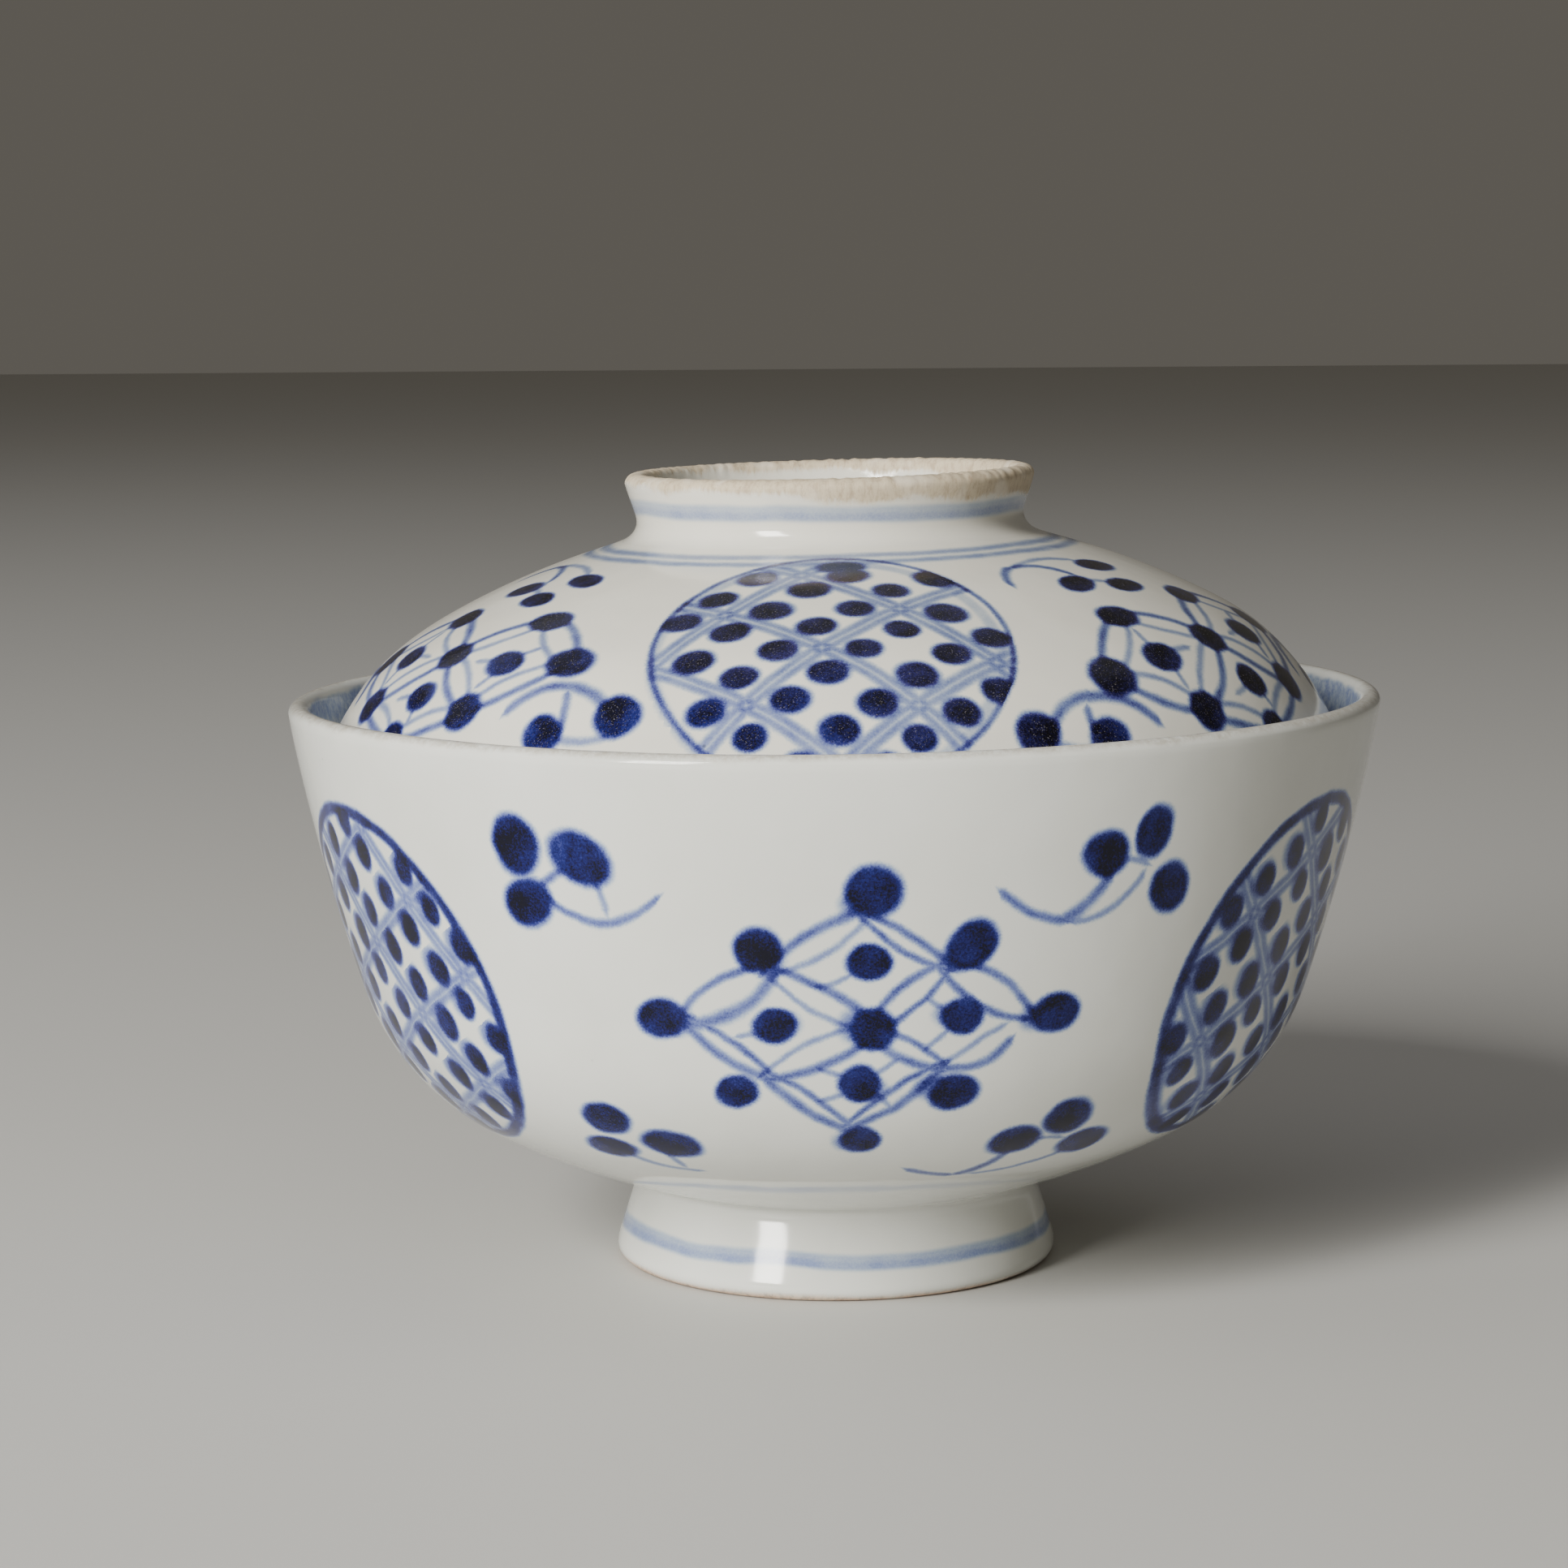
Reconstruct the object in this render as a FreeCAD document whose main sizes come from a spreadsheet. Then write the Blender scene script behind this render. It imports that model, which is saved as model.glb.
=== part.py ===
"""Lidded rice bowl in blue-and-white porcelain: a bowl and the lid that drops inside its rim.

Both pieces are thrown on a wheel, so each one is an outline turned once about the Z axis, and
then trimmed underneath: the bowl inside its foot ring, the lid inside the ring on its top.
The frame stands on the foot: the origin is the middle of the foot's flat face, +Z is up, and
sizes are in millimetres.
"""

import FreeCAD
import Part

import math
import os

import Sketcher

# ---------------------------------------------------------------------------------------
# Driving dimensions: (alias, value in mm, what it is)
# ---------------------------------------------------------------------------------------
DIMENSIONS = [
    ("rim_radius", 60.3, "bowl: outside radius at the rim"),
    ("bowl_height", 63.3, "bowl: height of the rim above the table"),
    ("rim_wall", 2.4, "bowl: wall thickness at the rim"),
    ("rim_rounding", 1.1, "bowl: rounding of the rim's two edges"),
    ("wall_foot_radius", 52.6, "bowl: outside radius where the wall meets the shoulder"),
    ("wall_foot_height", 32.5, "bowl: height where the wall meets the shoulder"),
    ("wall_curve", 230.0, "bowl: radius of the wall's slight belly"),
    ("lower_wall", 3.1, "bowl: wall thickness at the shoulder"),
    ("shoulder_curve", 26.0, "bowl: radius of the rounded shoulder, outside"),
    ("shoulder_radius", 41.0, "bowl: outside radius where the shoulder meets the underside"),
    ("shoulder_height", 17.3, "bowl: height where the shoulder meets the underside"),
    ("underside_curve", 95.0, "bowl: radius of the shallow underside"),
    ("inner_shoulder_curve", 23.0, "bowl: radius of the rounded shoulder, inside"),
    ("inner_shoulder_radius", 38.5, "bowl: radius where the inner shoulder meets the floor"),
    ("inner_shoulder_height", 20.2, "bowl: height where the inner shoulder meets the floor"),
    ("floor_height", 11.2, "bowl: height of the floor's middle"),
    ("foot_neck_radius", 22.2, "foot ring: outside radius at its neck"),
    ("foot_neck_height", 9.3, "foot ring: height of its neck"),
    ("foot_radius", 24.6, "foot ring: widest outside radius"),
    ("foot_widest_height", 1.5, "foot ring: height of its widest place"),
    ("foot_base_radius", 24.0, "foot ring: outside radius at the table"),
    ("foot_inner_radius", 20.9, "foot ring: inside radius at the table"),
    ("foot_recess_radius", 18.4, "foot ring: inside radius at the top of the recess"),
    ("foot_recess_depth", 6.4, "foot ring: depth of the recess under the floor"),
    ("foot_rounding", 0.7, "foot ring: rounding of the edges that meet the table"),
    ("foot_neck_rounding", 1.4, "foot ring: rounding in the corner at its neck"),
    ("seat_gap", 0.3, "clearance between the lid's edge and the bowl's wall"),
    ("lid_edge_height", 56.0, "lid: height of its lower edge when it is on the bowl"),
    ("lid_edge_radius", 56.7, "lid: outside radius at its lower edge"),
    ("lid_edge_wall", 2.5, "lid: thickness at its lower edge"),
    ("lid_edge_rounding", 0.9, "lid: rounding of the lower edge"),
    ("lid_skirt_radius", 53.9, "lid: outside radius where the skirt meets the shoulder"),
    ("lid_skirt_height", 61.8, "lid: height where the skirt meets the shoulder"),
    ("lid_skirt_wall", 2.8, "lid: thickness where the skirt meets the shoulder"),
    ("lid_shoulder_curve", 28.0, "lid: radius of the rounded shoulder, outside"),
    ("lid_shoulder_radius", 43.4, "lid: outside radius where the shoulder meets the crown"),
    ("lid_shoulder_height", 72.2, "lid: height where the shoulder meets the crown"),
    ("lid_crown_curve", 90.0, "lid: radius of the shallow crown, outside"),
    ("lid_inner_curve", 25.0, "lid: radius of the rounded shoulder, inside"),
    ("lid_inner_radius", 41.5, "lid: radius where the inner shoulder meets the inner crown"),
    ("lid_inner_height", 69.4, "lid: height where the inner shoulder meets the inner crown"),
    ("lid_inner_top", 77.8, "lid: height of the middle of the crown, inside"),
    ("ring_base_radius", 23.0, "lid ring: radius where it grows out of the crown"),
    ("ring_base_height", 80.4, "lid ring: height where it grows out of the crown"),
    ("ring_neck_radius", 21.2, "lid ring: outside radius at its neck"),
    ("ring_neck_height", 82.4, "lid ring: height of its neck"),
    ("ring_top_radius", 22.6, "lid ring: outside radius at the top"),
    ("total_height", 87.9, "lid ring: height of its top face"),
    ("ring_inner_radius", 20.1, "lid ring: inside radius at the top"),
    ("ring_well_radius", 18.9, "lid ring: inside radius at the floor of the well"),
    ("ring_well_height", 81.5, "lid ring: height of the well's floor"),
    ("ring_rounding", 0.9, "lid ring: rounding of the top edges"),
]


def make_sheet(doc):
    """Put the driving dimensions into a spreadsheet, one named cell a row."""
    sheet = doc.addObject("Spreadsheet::Sheet", "Dims")
    for row, (alias, value, meaning) in enumerate(DIMENSIONS, start=1):
        sheet.set("A%d" % row, alias)
        sheet.set("B%d" % row, str(value))
        sheet.setAlias("B%d" % row, alias)
        sheet.set("C%d" % row, meaning)
    doc.recompute()
    return sheet


# ---------------------------------------------------------------------------------------
# Outlines: corners bound to the sheet, joined by lines and arcs
# ---------------------------------------------------------------------------------------
CENTRE_POINT = 3  # a sketch's number for an arc's centre, after its two ends
VERTICAL_AXIS = -2  # a sketch's number for its own upright axis


def origin_plane(body, role):
    """Return one of the body's own origin planes."""
    for feature in body.Origin.OriginFeatures:
        if feature.Role == role:
            return feature
    raise RuntimeError("no origin plane " + role)


def new_sketch(body, name):
    """Start a sketch on the body's XZ plane: its x is the radius and its y the height."""
    sketch = body.newObject("Sketcher::SketchObject", name)
    sketch.AttachmentSupport = [(origin_plane(body, "XZ_Plane"), "")]
    sketch.MapMode = "FlatFace"
    return sketch


def value_of(sheet, expression):
    """Work out an expression of the sheet's aliases, such as rim_radius - rim_wall."""
    names = {alias: float(sheet.get(alias)) for alias, _, _ in DIMENSIONS}
    total = 0.0
    for term in expression.replace("- ", "-").replace("+ ", "").split():
        sign = -1.0 if term.startswith("-") else 1.0
        total += sign * names[term.lstrip("-")]
    return total


def arc_between(start, end, radius, bulge):
    """Make the short arc from start to end; bulge +1 puts it on the left of that way.

    A sketch's arcs all turn anticlockwise, so the second value says which end of the arc,
    1 or 2, is the start point.
    """
    middle = (start + end) * 0.5
    half = (end - start) * 0.5
    left = FreeCAD.Vector(-half.y, half.x, 0).normalize()
    centre = middle - left * bulge * math.sqrt(radius ** 2 - half.Length ** 2)
    angle_start = math.atan2(start.y - centre.y, start.x - centre.x)
    angle_end = math.atan2(end.y - centre.y, end.x - centre.x)
    circle = Part.Circle(centre, FreeCAD.Vector(0, 0, 1), radius)
    if bulge > 0:
        return Part.ArcOfCircle(circle, angle_end, angle_start), 2
    return Part.ArcOfCircle(circle, angle_start, angle_end), 1


def dome_radius(start, end):
    """Radius of the arc through both points whose centre is on the axis, at x = 0."""
    width = abs(end.x - start.x)
    rise = abs(end.y - start.y)
    return (width ** 2 + rise ** 2) / (2.0 * rise)


def draw_outline(sketch, sheet, corners):
    """Draw a closed outline, with every size bound to the sheet.

    Each corner is (name, radius, height, run), where radius and height are expressions of
    the sheet's aliases, or None for a corner on that axis, and run says how the outline goes
    on to the next corner: "line", (alias of the arc's radius, bulge), or "dome" for an arc
    from a corner on the Z axis, or to one, whose centre is on that axis too.
    """
    points = []
    for _, radius, height, _ in corners:
        x = value_of(sheet, radius) if radius else 0.0
        y = value_of(sheet, height) if height else 0.0
        points.append(FreeCAD.Vector(x, y, 0))
    ends = []
    for index, (name, _, _, run) in enumerate(corners):
        start = points[index]
        end = points[(index + 1) % len(points)]
        if run == "line":
            number = sketch.addGeometry(Part.LineSegment(start, end))
            ends.append((number, 1, 2))
            continue
        if run == "dome":
            arc, first = arc_between(start, end, dome_radius(start, end), 1)
            number = sketch.addGeometry(arc)
            ends.append((number, first, 3 - first))
            sketch.addConstraint(Sketcher.Constraint("PointOnObject", number, CENTRE_POINT, VERTICAL_AXIS))
            continue
        alias, bulge = run
        arc, first = arc_between(start, end, value_of(sheet, alias), bulge)
        number = sketch.addGeometry(arc)
        ends.append((number, first, 3 - first))
        bind(sketch, Sketcher.Constraint("Radius", number, value_of(sheet, alias)), name + "_arc", alias)
    join_corners(sketch, ends)
    for (name, radius, height, _), (number, first, _), point in zip(corners, ends, points):
        place_corner(sketch, name, radius, height, (number, first), point)


def join_corners(sketch, ends):
    """Join the end of each run to the start of the next."""
    for index, (number, _, last) in enumerate(ends):
        following, first, _ = ends[(index + 1) % len(ends)]
        sketch.addConstraint(Sketcher.Constraint("Coincident", number, last, following, first))


def place_corner(sketch, name, radius, height, end, point):
    """Hold a corner at its radius and height, or on the axis where it has none."""
    root = -1
    horizontal_axis = -1
    vertical_axis = -2
    if radius:
        bind(sketch, Sketcher.Constraint("DistanceX", root, 1, *end, point.x), name + "_radius", radius)
    else:
        sketch.addConstraint(Sketcher.Constraint("PointOnObject", *end, vertical_axis))
    if height:
        bind(sketch, Sketcher.Constraint("DistanceY", root, 1, *end, point.y), name + "_height", height)
    else:
        sketch.addConstraint(Sketcher.Constraint("PointOnObject", *end, horizontal_axis))


def bind(sketch, constraint, name, expression):
    """Add a named constraint whose value follows the sheet."""
    number = sketch.addConstraint(constraint)
    sketch.renameConstraint(number, name)
    words = []
    for word in expression.split():
        words.append(word if word in "+-" else "Dims." + word)
    sketch.setExpression("Constraints." + name, " ".join(words))


# ---------------------------------------------------------------------------------------
# Features
# ---------------------------------------------------------------------------------------
def turn(body, sheet, name, corners):
    """Turn an outline once about the Z axis."""
    sketch = new_sketch(body, name + "_outline")
    draw_outline(sketch, sheet, corners)
    feature = body.newObject("PartDesign::Revolution", name)
    feature.Profile = sketch
    feature.ReferenceAxis = (sketch, ["V_Axis"])
    feature.Angle = 360.0
    body.Document.recompute()
    return feature


def trim(body, sheet, name, corners):
    """Cut an outline out of the body by turning it about the Z axis."""
    before = body.Shape.Volume
    sketch = new_sketch(body, name + "_outline")
    draw_outline(sketch, sheet, corners)
    feature = body.newObject("PartDesign::Groove", name)
    feature.Profile = sketch
    feature.ReferenceAxis = (sketch, ["V_Axis"])
    feature.Angle = 360.0
    body.Document.recompute()
    if feature.Shape.Volume > before - 1.0:
        raise RuntimeError(name + " cut nothing")
    return feature


def round_edges(body, sheet, name, alias, places):
    """Round the circular edges at the given (radius, height) places."""
    base = body.Tip
    edges = []
    for radius, height in places:
        level = value_of(sheet, height) if height else 0.0
        edges += circular_edges(base.Shape, value_of(sheet, radius), level)
    feature = body.newObject("PartDesign::Fillet", name)
    feature.Base = (base, edges)
    feature.setExpression("Radius", "Dims." + alias)
    body.Document.recompute()
    return feature


def circular_edges(shape, radius, height):
    """Name the circular edges of this radius about the Z axis at this height."""
    tolerance = 0.05
    names = []
    for number, edge in enumerate(shape.Edges, start=1):
        box = edge.BoundBox
        level = abs(box.ZMin - height) < tolerance and abs(box.ZMax - height) < tolerance
        if level and abs(box.XMax - radius) < tolerance:
            names.append("Edge%d" % number)
    if not names:
        raise RuntimeError("no edge of radius %.2f at height %.2f" % (radius, height))
    return names


# ---------------------------------------------------------------------------------------
# The two pieces
# ---------------------------------------------------------------------------------------
def new_body(doc, name):
    """Start a body whose label is the sub-part's name."""
    body = doc.addObject("PartDesign::Body", name.capitalize() + "Body")
    body.Label = name
    return body


def make_bowl(doc, sheet):
    """The bowl: a straight-sided cup on a shallow underside, with a foot ring of the same clay."""
    body = new_body(doc, "bowl")
    turn(body, sheet, "thrown_bowl", [
        ("base_middle", None, None, "line"),
        ("foot_base", "foot_base_radius", None, "line"),
        ("foot_widest", "foot_radius", "foot_widest_height", "line"),
        ("foot_neck", "foot_neck_radius", "foot_neck_height", ("underside_curve", -1)),
        ("shoulder", "shoulder_radius", "shoulder_height", ("shoulder_curve", -1)),
        ("wall_foot", "wall_foot_radius", "wall_foot_height", ("wall_curve", -1)),
        ("rim_outside", "rim_radius", "bowl_height", "line"),
        ("rim_inside", "rim_radius - rim_wall", "bowl_height", ("wall_curve", 1)),
        ("inner_wall_foot", "wall_foot_radius - lower_wall", "wall_foot_height", ("inner_shoulder_curve", 1)),
        ("inner_shoulder", "inner_shoulder_radius", "inner_shoulder_height", "dome"),
        ("floor_middle", None, "floor_height", "line"),
    ])
    trim(body, sheet, "trimmed_recess", [
        ("recess_mouth", None, None, "line"),
        ("recess_edge", "foot_inner_radius", None, "line"),
        ("recess_corner", "foot_recess_radius", "foot_recess_depth", "line"),
        ("recess_top", None, "foot_recess_depth", "line"),
    ])
    round_edges(body, sheet, "rounded_neck", "foot_neck_rounding", [("foot_neck_radius", "foot_neck_height")])
    round_edges(body, sheet, "rounded_foot", "foot_rounding", [
        ("foot_base_radius", None),
        ("foot_inner_radius", None),
    ])
    round_edges(body, sheet, "rounded_rim", "rim_rounding", [
        ("rim_radius", "bowl_height"),
        ("rim_radius - rim_wall", "bowl_height"),
    ])
    return body


def make_lid(doc, sheet):
    """The lid: a shallow dome with a ring on top, whose edge sits inside the bowl's rim."""
    body = new_body(doc, "lid")
    turn(body, sheet, "thrown_lid", [
        ("ring_middle", None, "total_height", "line"),
        ("inner_top", None, "lid_inner_top", "dome"),
        ("inner_shoulder", "lid_inner_radius", "lid_inner_height", ("lid_inner_curve", 1)),
        ("inner_skirt", "lid_skirt_radius - lid_skirt_wall", "lid_skirt_height", "line"),
        ("inner_edge", "lid_edge_radius - lid_edge_wall", "lid_edge_height", "line"),
        ("outer_edge", "lid_edge_radius", "lid_edge_height", "line"),
        ("skirt", "lid_skirt_radius", "lid_skirt_height", ("lid_shoulder_curve", -1)),
        ("shoulder", "lid_shoulder_radius", "lid_shoulder_height", ("lid_crown_curve", -1)),
        ("ring_base", "ring_base_radius", "ring_base_height", "line"),
        ("ring_neck", "ring_neck_radius", "ring_neck_height", "line"),
        ("ring_top", "ring_top_radius", "total_height", "line"),
    ])
    trim(body, sheet, "trimmed_well", [
        ("well_mouth", None, "total_height", "line"),
        ("well_bottom", None, "ring_well_height", "line"),
        ("well_corner", "ring_well_radius", "ring_well_height", "line"),
        ("well_edge", "ring_inner_radius", "total_height", "line"),
    ])
    round_edges(body, sheet, "rounded_ring", "ring_rounding", [
        ("ring_top_radius", "total_height"),
        ("ring_inner_radius", "total_height"),
    ])
    round_edges(body, sheet, "rounded_edge", "lid_edge_rounding", [
        ("lid_edge_radius", "lid_edge_height"),
        ("lid_edge_radius - lid_edge_wall", "lid_edge_height"),
    ])
    return body


# ---------------------------------------------------------------------------------------
# Checks and files
# ---------------------------------------------------------------------------------------
def check_document(doc, bodies):
    """Stop if any object failed, or if a piece isn't one sound solid."""
    for item in doc.Objects:
        if "Invalid" in item.State or "Error" in item.State:
            raise RuntimeError("%s failed: %s" % (item.Name, item.State))
    for body in bodies:
        if body.Shape.isNull() or not body.Shape.isValid() or len(body.Shape.Solids) != 1:
            raise RuntimeError(body.Label + " is not one sound solid")


def print_sizes(sheet, bodies):
    """Print each piece's size, and how far the lid keeps from the bowl."""
    for body in bodies:
        box = body.Shape.optimalBoundingBox()
        print("%s: %.1f x %.1f x %.1f mm, %.1f cm3" % (
            body.Label, box.XLength, box.YLength, box.ZLength, body.Shape.Volume / 1000.0))
    gap = bodies[0].Shape.distToShape(bodies[1].Shape)[0]
    print("gap between bowl and lid: %.2f mm" % gap)
    if gap < 0.8 * value_of(sheet, "seat_gap"):
        raise RuntimeError("the lid is too close to the bowl's wall")


def write_parts(bodies):
    """Write one STEP file a piece."""
    os.makedirs("parts", exist_ok=True)
    for body in bodies:
        body.Shape.exportStep("parts/%s.step" % body.Label)


def main():
    """Build the bowl and its lid, check them and write their files."""
    doc = FreeCAD.newDocument("RiceBowl")
    sheet = make_sheet(doc)
    bodies = [make_bowl(doc, sheet), make_lid(doc, sheet)]
    doc.recompute()
    check_document(doc, bodies)
    print_sizes(sheet, bodies)
    write_parts(bodies)


main()
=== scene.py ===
# %% [markdown]
# # A lidded rice bowl in blue-and-white porcelain
# The real object is two pieces of porcelain: a bowl, and a lid that drops inside its rim. Both
# look thrown on a wheel, painted by brush with cobalt, dipped in clear glaze and fired.
# This lesson builds both surfaces as turned meshes and paints them with nodes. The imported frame
# comes first, because every size below is taken from it or fits inside it.

# %% Load the frame
import math
import random

import bpy
import numpy as np
from mathutils import Matrix, Vector


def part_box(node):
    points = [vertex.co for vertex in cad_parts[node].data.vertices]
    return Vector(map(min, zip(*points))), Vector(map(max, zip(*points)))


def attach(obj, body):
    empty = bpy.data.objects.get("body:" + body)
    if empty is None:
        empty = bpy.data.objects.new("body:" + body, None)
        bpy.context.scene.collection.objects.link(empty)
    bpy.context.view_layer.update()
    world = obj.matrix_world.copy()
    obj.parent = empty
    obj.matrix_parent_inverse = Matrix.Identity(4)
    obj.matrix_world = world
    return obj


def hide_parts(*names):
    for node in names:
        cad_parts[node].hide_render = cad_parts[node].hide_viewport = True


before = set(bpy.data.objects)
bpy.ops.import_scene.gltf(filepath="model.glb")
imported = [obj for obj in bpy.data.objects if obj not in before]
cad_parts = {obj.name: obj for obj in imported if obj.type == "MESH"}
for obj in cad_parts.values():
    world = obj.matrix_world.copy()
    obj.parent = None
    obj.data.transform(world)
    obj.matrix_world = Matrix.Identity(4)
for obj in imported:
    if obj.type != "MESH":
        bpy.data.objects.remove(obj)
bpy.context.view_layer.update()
MM = 0.001
bowl_low, bowl_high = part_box("bowl")
lid_low, lid_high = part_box("lid")
RIM_RADIUS = (bowl_high[0] - bowl_low[0]) / 2 / MM
BOWL_HEIGHT = bowl_high[2] / MM
TOP = lid_high[2] / MM
print(f"rim radius {RIM_RADIUS:.1f}, bowl height {BOWL_HEIGHT:.1f}, top {TOP:.1f} mm")

# %% [markdown]
# ## The camera
# The bowl is seen from a little above its rim and quite close, so the rim shows as a thin
# ellipse and the foot as a fuller one. A long lens on a near camera keeps that perspective.
# The camera is placed by its height and distance from the bowl's axis and turned by three small
# angles, which is easier to adjust by eye than a matrix.

# %% Place the camera
CAMERA_DISTANCE = 444.0
CAMERA_HEIGHT = 109.6
LENS = 92.5
PITCH_DOWN = 7.29
TURN_LEFT = 0.71
ROLL = -0.4

camera_data = bpy.data.cameras.new("camera")
camera_data.lens = LENS
camera_data.sensor_width = 36.0
camera_data.clip_start = 0.01
camera = bpy.data.objects.new("camera", camera_data)
bpy.context.scene.collection.objects.link(camera)
aim = Matrix.Rotation(math.radians(TURN_LEFT), 4, "Z")
aim = aim @ Matrix.Rotation(math.radians(90.0 - PITCH_DOWN), 4, "X")
aim = aim @ Matrix.Rotation(math.radians(ROLL), 4, "Z")
place = Matrix.Translation(Vector((0.0, -CAMERA_DISTANCE, CAMERA_HEIGHT)) * MM)
camera.matrix_world = place @ aim
bpy.context.scene.camera = camera
print("camera at", [round(v, 3) for v in camera.matrix_world.translation])

# %% [markdown]
# ## Floor and light
# Glaze is judged by what it reflects, so there are few lights and each has a reason. A tall
# narrow window in front on the left leaves one crisp highlight on the foot. A ceiling panel,
# far larger than the bowl, gives soft light from above with no hard reflection, and a dim warm
# world adds a little to the shade. The floor is one plain pale sheet, and its far edge shows
# behind the bowl as a plain horizon.

# %% Make the floor and the lights
def node(tree, kind, **settings):
    """Add a shader node and set its properties."""
    made = tree.nodes.new("ShaderNode" + kind)
    for name, value in settings.items():
        setattr(made, name, value)
    return made


def srgb(code):
    """Turn a #rrggbb colour into Blender's linear colour."""
    parts = [int(code[i:i + 2], 16) / 255 for i in (1, 3, 5)]
    linear = [c / 12.92 if c <= 0.04045 else ((c + 0.055) / 1.055) ** 2.4 for c in parts]
    return (*linear, 1.0)


def make_floor():
    """A wide pale sheet at the height of the table."""
    half = 4.0
    corners = [(-half, -half, 0), (half, -half, 0), (half, half, 0), (-half, half, 0)]
    mesh = bpy.data.meshes.new("floor")
    mesh.from_pydata(corners, [], [(0, 1, 2, 3)])
    floor = bpy.data.objects.new("floor", mesh)
    bpy.context.scene.collection.objects.link(floor)
    material = bpy.data.materials.new("pale table")
    material.use_nodes = True
    shader = material.node_tree.nodes["Principled BSDF"]
    shader.inputs["Base Color"].default_value = srgb("#c2c1bd")
    shader.inputs["Roughness"].default_value = 0.6
    mesh.materials.append(material)
    return floor


def make_panel(name, location, size, power, colour):
    """An area light that faces the bowl."""
    data = bpy.data.lights.new(name, "AREA")
    data.shape = "RECTANGLE"
    data.size, data.size_y = size
    data.energy = power
    data.color = srgb(colour)[:3]
    panel = bpy.data.objects.new(name, data)
    bpy.context.scene.collection.objects.link(panel)
    panel.location = location
    towards = Vector((0, 0, 0.05)) - Vector(location)
    panel.rotation_euler = towards.to_track_quat("-Z", "Y").to_euler()
    return panel


make_floor()
make_panel("window", (-0.66, -0.92, 0.54), (0.3, 0.7), 31.0, "#fffdf8")
make_panel("ceiling", (-0.3, 0.1, 1.2), (2.4, 2.4), 4.8, "#f6f8ff")
world = bpy.data.worlds.new("studio")
world.use_nodes = True
world.node_tree.nodes["Background"].inputs["Color"].default_value = srgb("#e8e0d2")
world.node_tree.nodes["Background"].inputs["Strength"].default_value = 0.14
bpy.context.scene.world = world
print("floor, two panels and the world are in")

# %% [markdown]
# ## Outlines
# A thrown pot is one outline turned about the wheel's axis. The outline here is a short list of
# lines and arcs, cut into small steps and then softened a little, because a wet sponge leaves
# no sharp corner on clay. Every step remembers its zone (wall, foot, inside) and how far it is
# along the outline, which the painting uses later as a ruler.

# %% Draw an outline
class Outline:
    """A half-section in millimetres, drawn as lines and arcs from one end to the other."""

    def __init__(self, radius, height):
        self.points = [(radius, height)]
        self.zones = []
        self.softness = [0.0]

    def line(self, radius, height, zone, step=1.2, soft=1.0):
        """Go straight on to a point."""
        start = self.points[-1]
        length = math.hypot(radius - start[0], height - start[1])
        steps = max(1, round(length / step))
        for index in range(1, steps + 1):
            share = index / steps
            point = (start[0] + (radius - start[0]) * share, start[1] + (height - start[1]) * share)
            self._add(point, zone, soft)

    def arc(self, radius, height, curve, zone, step=1.2, soft=1.0):
        """Go on to a point along an arc; a positive curve bulges to the left of the way."""
        start = Vector(self.points[-1])
        end = Vector((radius, height))
        half = (end - start) / 2
        left = Vector((-half.y, half.x)).normalized()
        depth = math.sqrt(max(curve * curve - half.length_squared, 0.0))
        centre = start + half - left * math.copysign(depth, curve)
        sweep = 2 * math.asin(min(1.0, half.length / abs(curve))) * -math.copysign(1, curve)
        first = start - centre
        steps = max(2, round(abs(sweep * curve) / step))
        for index in range(1, steps + 1):
            turned = Vector(first)
            turned.rotate(Matrix.Rotation(sweep * index / steps, 2))
            self._add(tuple(centre + turned), zone, soft)

    def _add(self, point, zone, soft):
        self.points.append(point)
        self.zones.append(zone)
        self.softness.append(soft)

    def finished(self, rounds=6):
        """Soften the corners and return points, zones and the distance along the outline."""
        points = np.array(self.points)
        soft = np.array(self.softness)[1:-1, None]
        for _ in range(rounds):
            middle = (points[:-2] + points[2:]) / 2
            points[1:-1] += 0.5 * soft * (middle - points[1:-1])
        points[np.abs(points[:, 0]) < 1e-6, 0] = 0.0
        steps = np.hypot(*np.diff(points, axis=0).T)
        along = np.concatenate([[0.0], np.cumsum(steps)])
        return points, self.zones, along


# %% [markdown]
# ## The bowl's outline
# The outline starts under the floor, goes round the foot ring and up the wall, over the lip and
# down inside. Long arcs give the full belly and the nearly straight wall above it. The rim's
# radius and height come from the frame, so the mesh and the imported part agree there.

# %% The bowl's outline
def bowl_outline():
    """From under the floor, round the foot ring, up the wall, over the lip and down inside."""
    line = Outline(0.0, 6.4)
    line.line(17.8, 6.3, "recess", 1.6)
    line.line(20.7, 0.6, "recess", 0.7)
    line.line(21.4, 0.0, "foot", 0.35)
    line.line(23.6, 0.0, "foot", 0.35, 0.6)
    line.arc(24.6, 1.5, -1.6, "foot", 0.3, 0.6)
    line.line(22.2, 9.0, "foot", 0.5)
    line.arc(23.1, 9.8, 1.0, "underside", 0.35, 0.6)
    line.arc(41.0, 17.3, -95.0, "wall", 0.9)
    line.arc(52.6, 32.5, -26.0, "wall", 0.9)
    line.arc(RIM_RADIUS, BOWL_HEIGHT - 1.2, -230.0, "wall", 1.1)
    line.arc(RIM_RADIUS - 2.4, BOWL_HEIGHT - 1.2, -1.2, "lip", 0.3, 0.1)
    line.arc(49.5, 32.5, 230.0, "inside", 1.3)
    line.arc(38.5, 20.2, 23.0, "inside", 1.3)
    line.arc(0.0, 11.2, 87.0, "inside", 1.6)
    return line.finished()


bowl_points, bowl_zones, bowl_along = bowl_outline()
print(len(bowl_points), "rows in the bowl's outline,", round(float(bowl_along[-1])), "mm long")

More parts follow.
